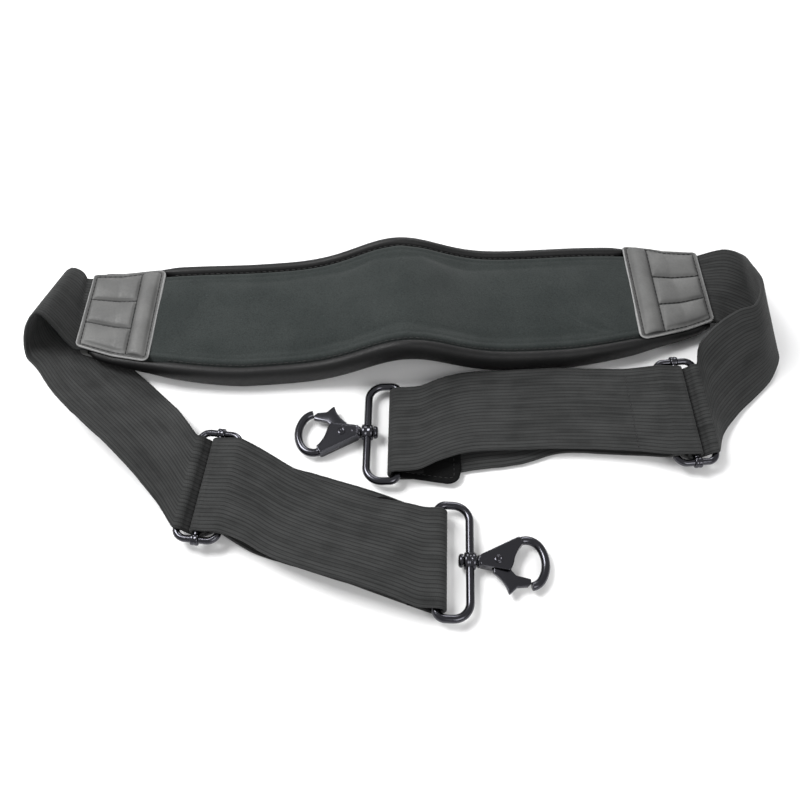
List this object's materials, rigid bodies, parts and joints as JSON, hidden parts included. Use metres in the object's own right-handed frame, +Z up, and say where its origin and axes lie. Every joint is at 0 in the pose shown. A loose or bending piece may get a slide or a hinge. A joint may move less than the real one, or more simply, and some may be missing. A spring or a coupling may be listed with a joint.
{
  "type": "saxophone neck strap",
  "caption": "Padded neck strap with elastic webbing, sliding buckles, wide rings and swivel snap hooks for holding an instrument.",
  "frame": {"origin": "middle of the strap's bounding box, on the surface it lies on", "axes": "+X along the pad to the wearer's left-hand end of the laid-out strap, +Y from the hooks towards the pad, +Z up from the table"},
  "size_m": [0.406, 0.225, 0.0452],
  "materials": {
    "neoprene": "matte",
    "edging": "matte",
    "foam": "matte",
    "leatherette": "satin",
    "elastic": "matte",
    "tab_cloth": "matte",
    "black_nickel": "gloss",
    "spring_steel": "satin"
  },
  "bodies": {
    "strap": {"pad_foam_core": "foam", "pad_top_panel": "neoprene", "pad_underside_panel": "edging", "pad_front_edge_band": "edging", "pad_back_edge_band": "edging", "left_end_patch_top": "leatherette", "left_end_patch_bottom": "leatherette", "right_end_patch_top": "leatherette", "right_end_patch_bottom": "leatherette", "left_webbing": "elastic", "left_ring_wear_tab": "tab_cloth", "right_webbing": "elastic", "right_ring_wear_tab": "tab_cloth"},
    "left_slider": {"left_slider_frame": "black_nickel", "left_slider_centre_bar": "black_nickel"},
    "left_ring": {"left_ring": "black_nickel"},
    "left_hook": {"left_hook_body": "black_nickel", "left_swivel_rivet": "black_nickel", "left_gate_pin": "black_nickel", "left_gate_spring": "spring_steel"},
    "left_gate": {"left_gate": "black_nickel"},
    "right_slider": {"right_slider_frame": "black_nickel", "right_slider_centre_bar": "black_nickel"},
    "right_ring": {"right_ring": "black_nickel"},
    "right_hook": {"right_hook_body": "black_nickel", "right_swivel_rivet": "black_nickel", "right_gate_pin": "black_nickel", "right_gate_spring": "spring_steel"},
    "right_gate": {"right_gate": "black_nickel"}
  },
  "joints": [
    {"name": "left_slider_travel", "type": "slide", "parent": "strap", "child": "left_slider", "axis": [0.9925, -0.1219, 0], "range_m": [-0.01, 0.01], "deforming": ["left_webbing"]},
    {"name": "left_ring_swing", "type": "hinge", "parent": "strap", "child": "left_ring", "pos_m": [0.01034, -0.08192, 0.00584], "axis": [0.0349, 0.9994, 0], "range_deg": [-120, 100]},
    {"name": "left_hook_swivel", "type": "hinge", "parent": "left_ring", "child": "left_hook", "pos_m": [0.02632, -0.08247, 0.00517], "axis": [0.9985, -0.0349, -0.0419], "continuous": true},
    {"name": "left_gate_swing", "type": "hinge", "parent": "left_hook", "child": "left_gate", "pos_m": [0.03962, -0.08224, 0.00461], "axis": [0.0419, -0.0015, 0.9991], "range_deg": [0, 22], "stiffness_Nm_per_rad": 0.02, "springref_deg": -34.38},
    {"name": "right_slider_travel", "type": "slide", "parent": "strap", "child": "right_slider", "axis": [-0.9962, -0.0872, 0], "range_m": [-0.01, 0.01], "deforming": ["right_webbing"]},
    {"name": "right_ring_swing", "type": "hinge", "parent": "strap", "child": "right_ring", "pos_m": [-0.00746, -0.01222, 0.00584], "axis": [-0.0175, -0.9998, 0], "range_deg": [-120, 100]},
    {"name": "right_hook_swivel", "type": "hinge", "parent": "right_ring", "child": "right_hook", "pos_m": [-0.02344, -0.01194, 0.00517], "axis": [-0.999, 0.0174, -0.0419], "continuous": true},
    {"name": "right_gate_swing", "type": "hinge", "parent": "right_hook", "child": "right_gate", "pos_m": [-0.03674, -0.0124, 0.00461], "axis": [-0.0419, 0.0007, 0.9991], "range_deg": [0, 22], "stiffness_Nm_per_rad": 0.02, "springref_deg": -34.38}
  ]
}
